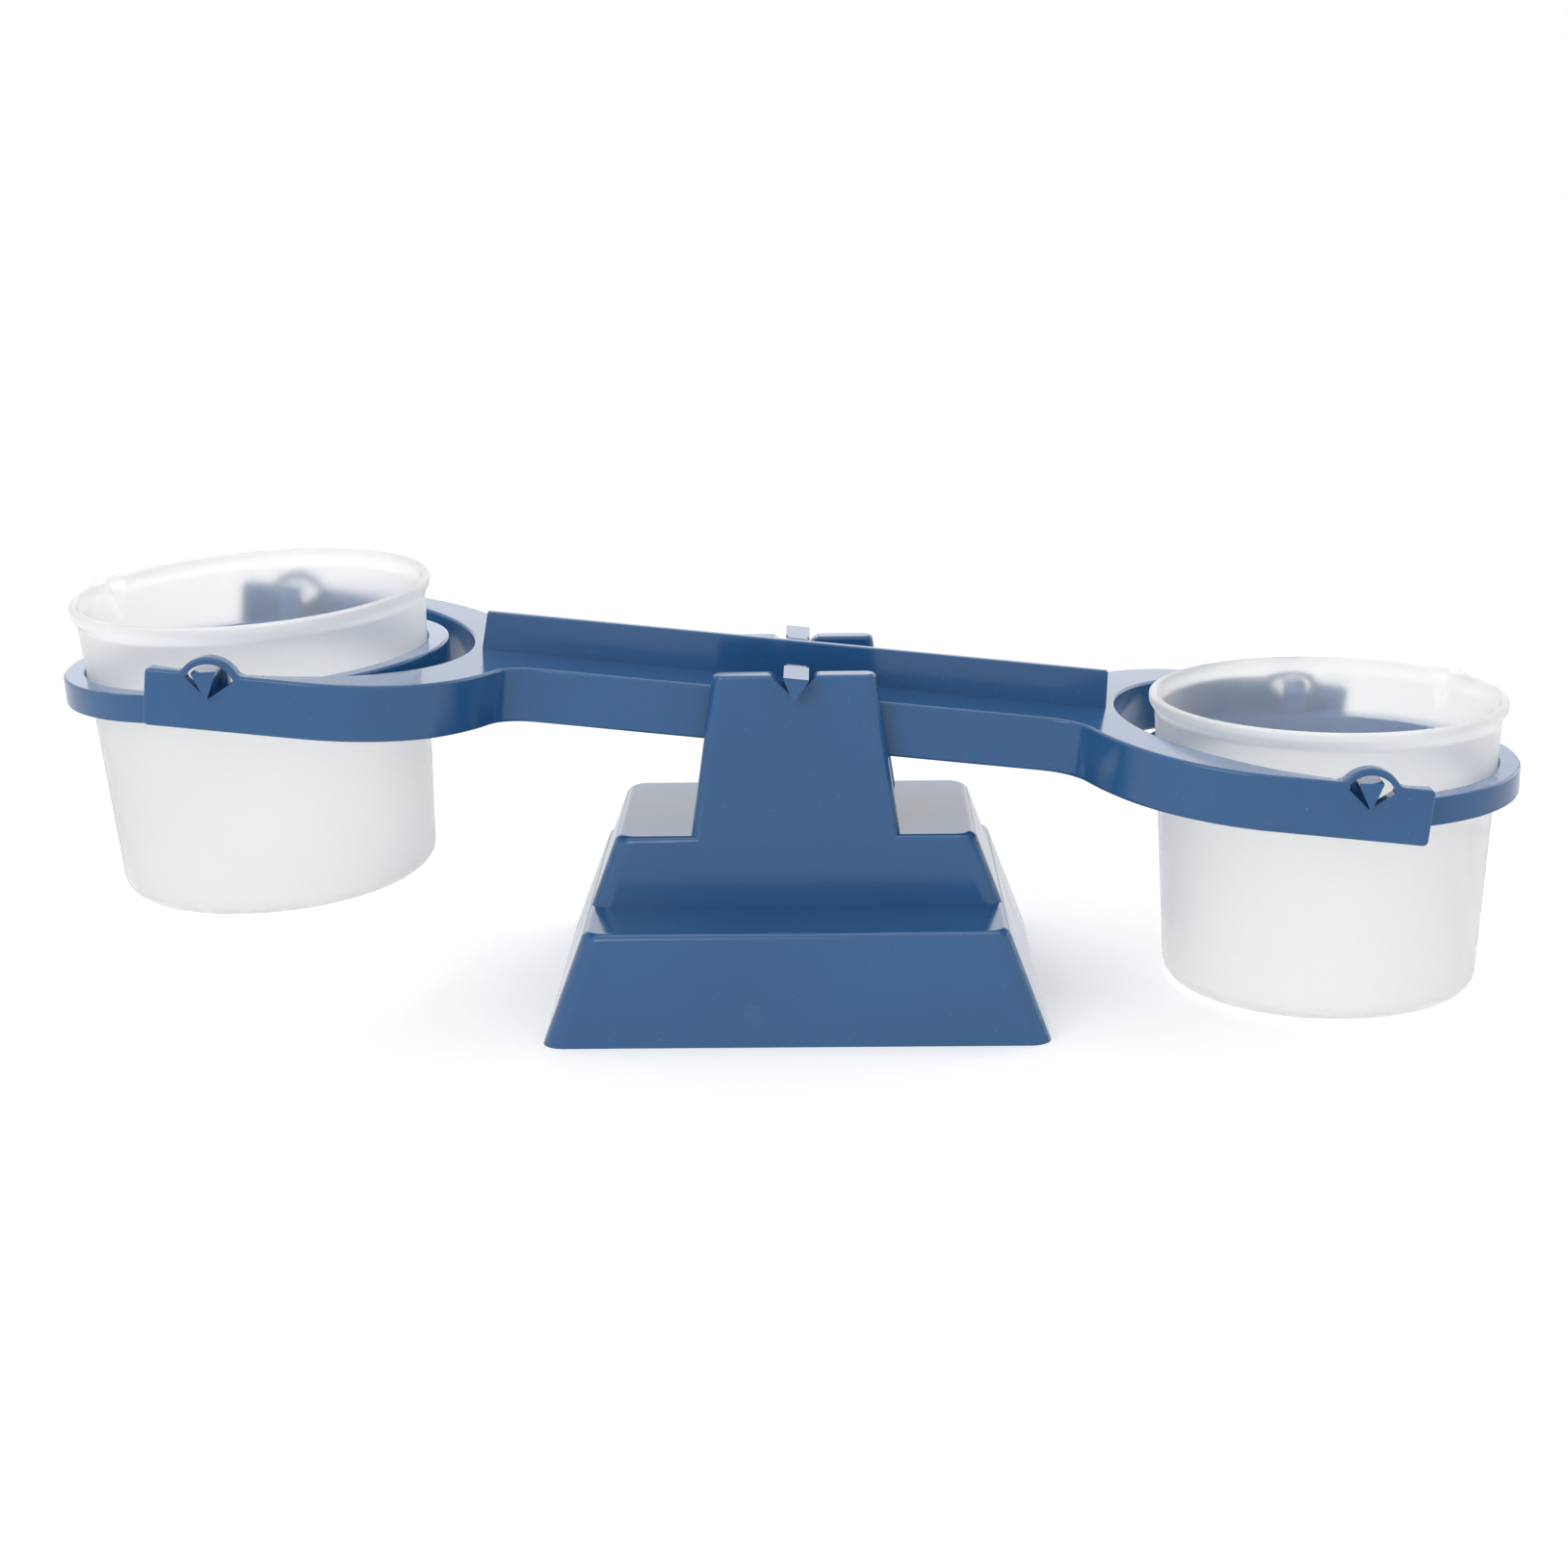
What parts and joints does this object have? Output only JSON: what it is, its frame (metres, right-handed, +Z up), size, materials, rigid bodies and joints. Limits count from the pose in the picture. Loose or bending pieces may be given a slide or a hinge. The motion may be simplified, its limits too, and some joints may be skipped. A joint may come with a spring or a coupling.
{
  "type": "bucket balance",
  "caption": "Classroom bucket balance: a forked beam rocks on knife edges in a notched stand, and a clear pouring bucket lifts out of a swinging ring at each end.",
  "frame": {"origin": "on the table under the middle of the stand", "axes": "+X along the beam to the right seen from the front, +Y to the back, +Z up"},
  "size_m": [0.3985, 0.1292, 0.117],
  "materials": {
    "blue_plastic": "satin moulded",
    "frosted_plastic": "frosted translucent"
  },
  "bodies": {
    "stand_body": {"stand": "blue_plastic"},
    "beam_body": {"beam": "blue_plastic"},
    "left_ring_body": {"left_ring": "blue_plastic"},
    "right_ring_body": {"right_ring": "blue_plastic"},
    "left_bucket_body": {"left_bucket": "frosted_plastic"},
    "right_bucket_body": {"right_bucket": "frosted_plastic"}
  },
  "joints": [
    {"name": "beam_tilt", "type": "hinge", "parent": "stand_body", "child": "beam_body", "pos_m": [0, 0, 0.088], "axis": [0, -1, 0], "range_deg": [0, 12.3]},
    {"name": "left_ring_swing", "type": "hinge", "parent": "beam_body", "child": "left_ring_body", "pos_m": [-0.14779, 0, 0.09698], "axis": [0, -1, 0], "range_deg": [-29, 10]},
    {"name": "right_ring_swing", "type": "hinge", "parent": "beam_body", "child": "right_ring_body", "pos_m": [0.14631, 0, 0.0653], "axis": [0, -1, 0], "range_deg": [-26, 13]},
    {"name": "left_bucket_lift", "type": "slide", "parent": "left_ring_body", "child": "left_bucket_body", "axis": [-0.0436, -0.0401, 0.9982], "range_m": [0, 0.09]},
    {"name": "right_bucket_lift", "type": "slide", "parent": "right_ring_body", "child": "right_bucket_body", "axis": [0, 0, 1], "range_m": [0, 0.09]}
  ]
}
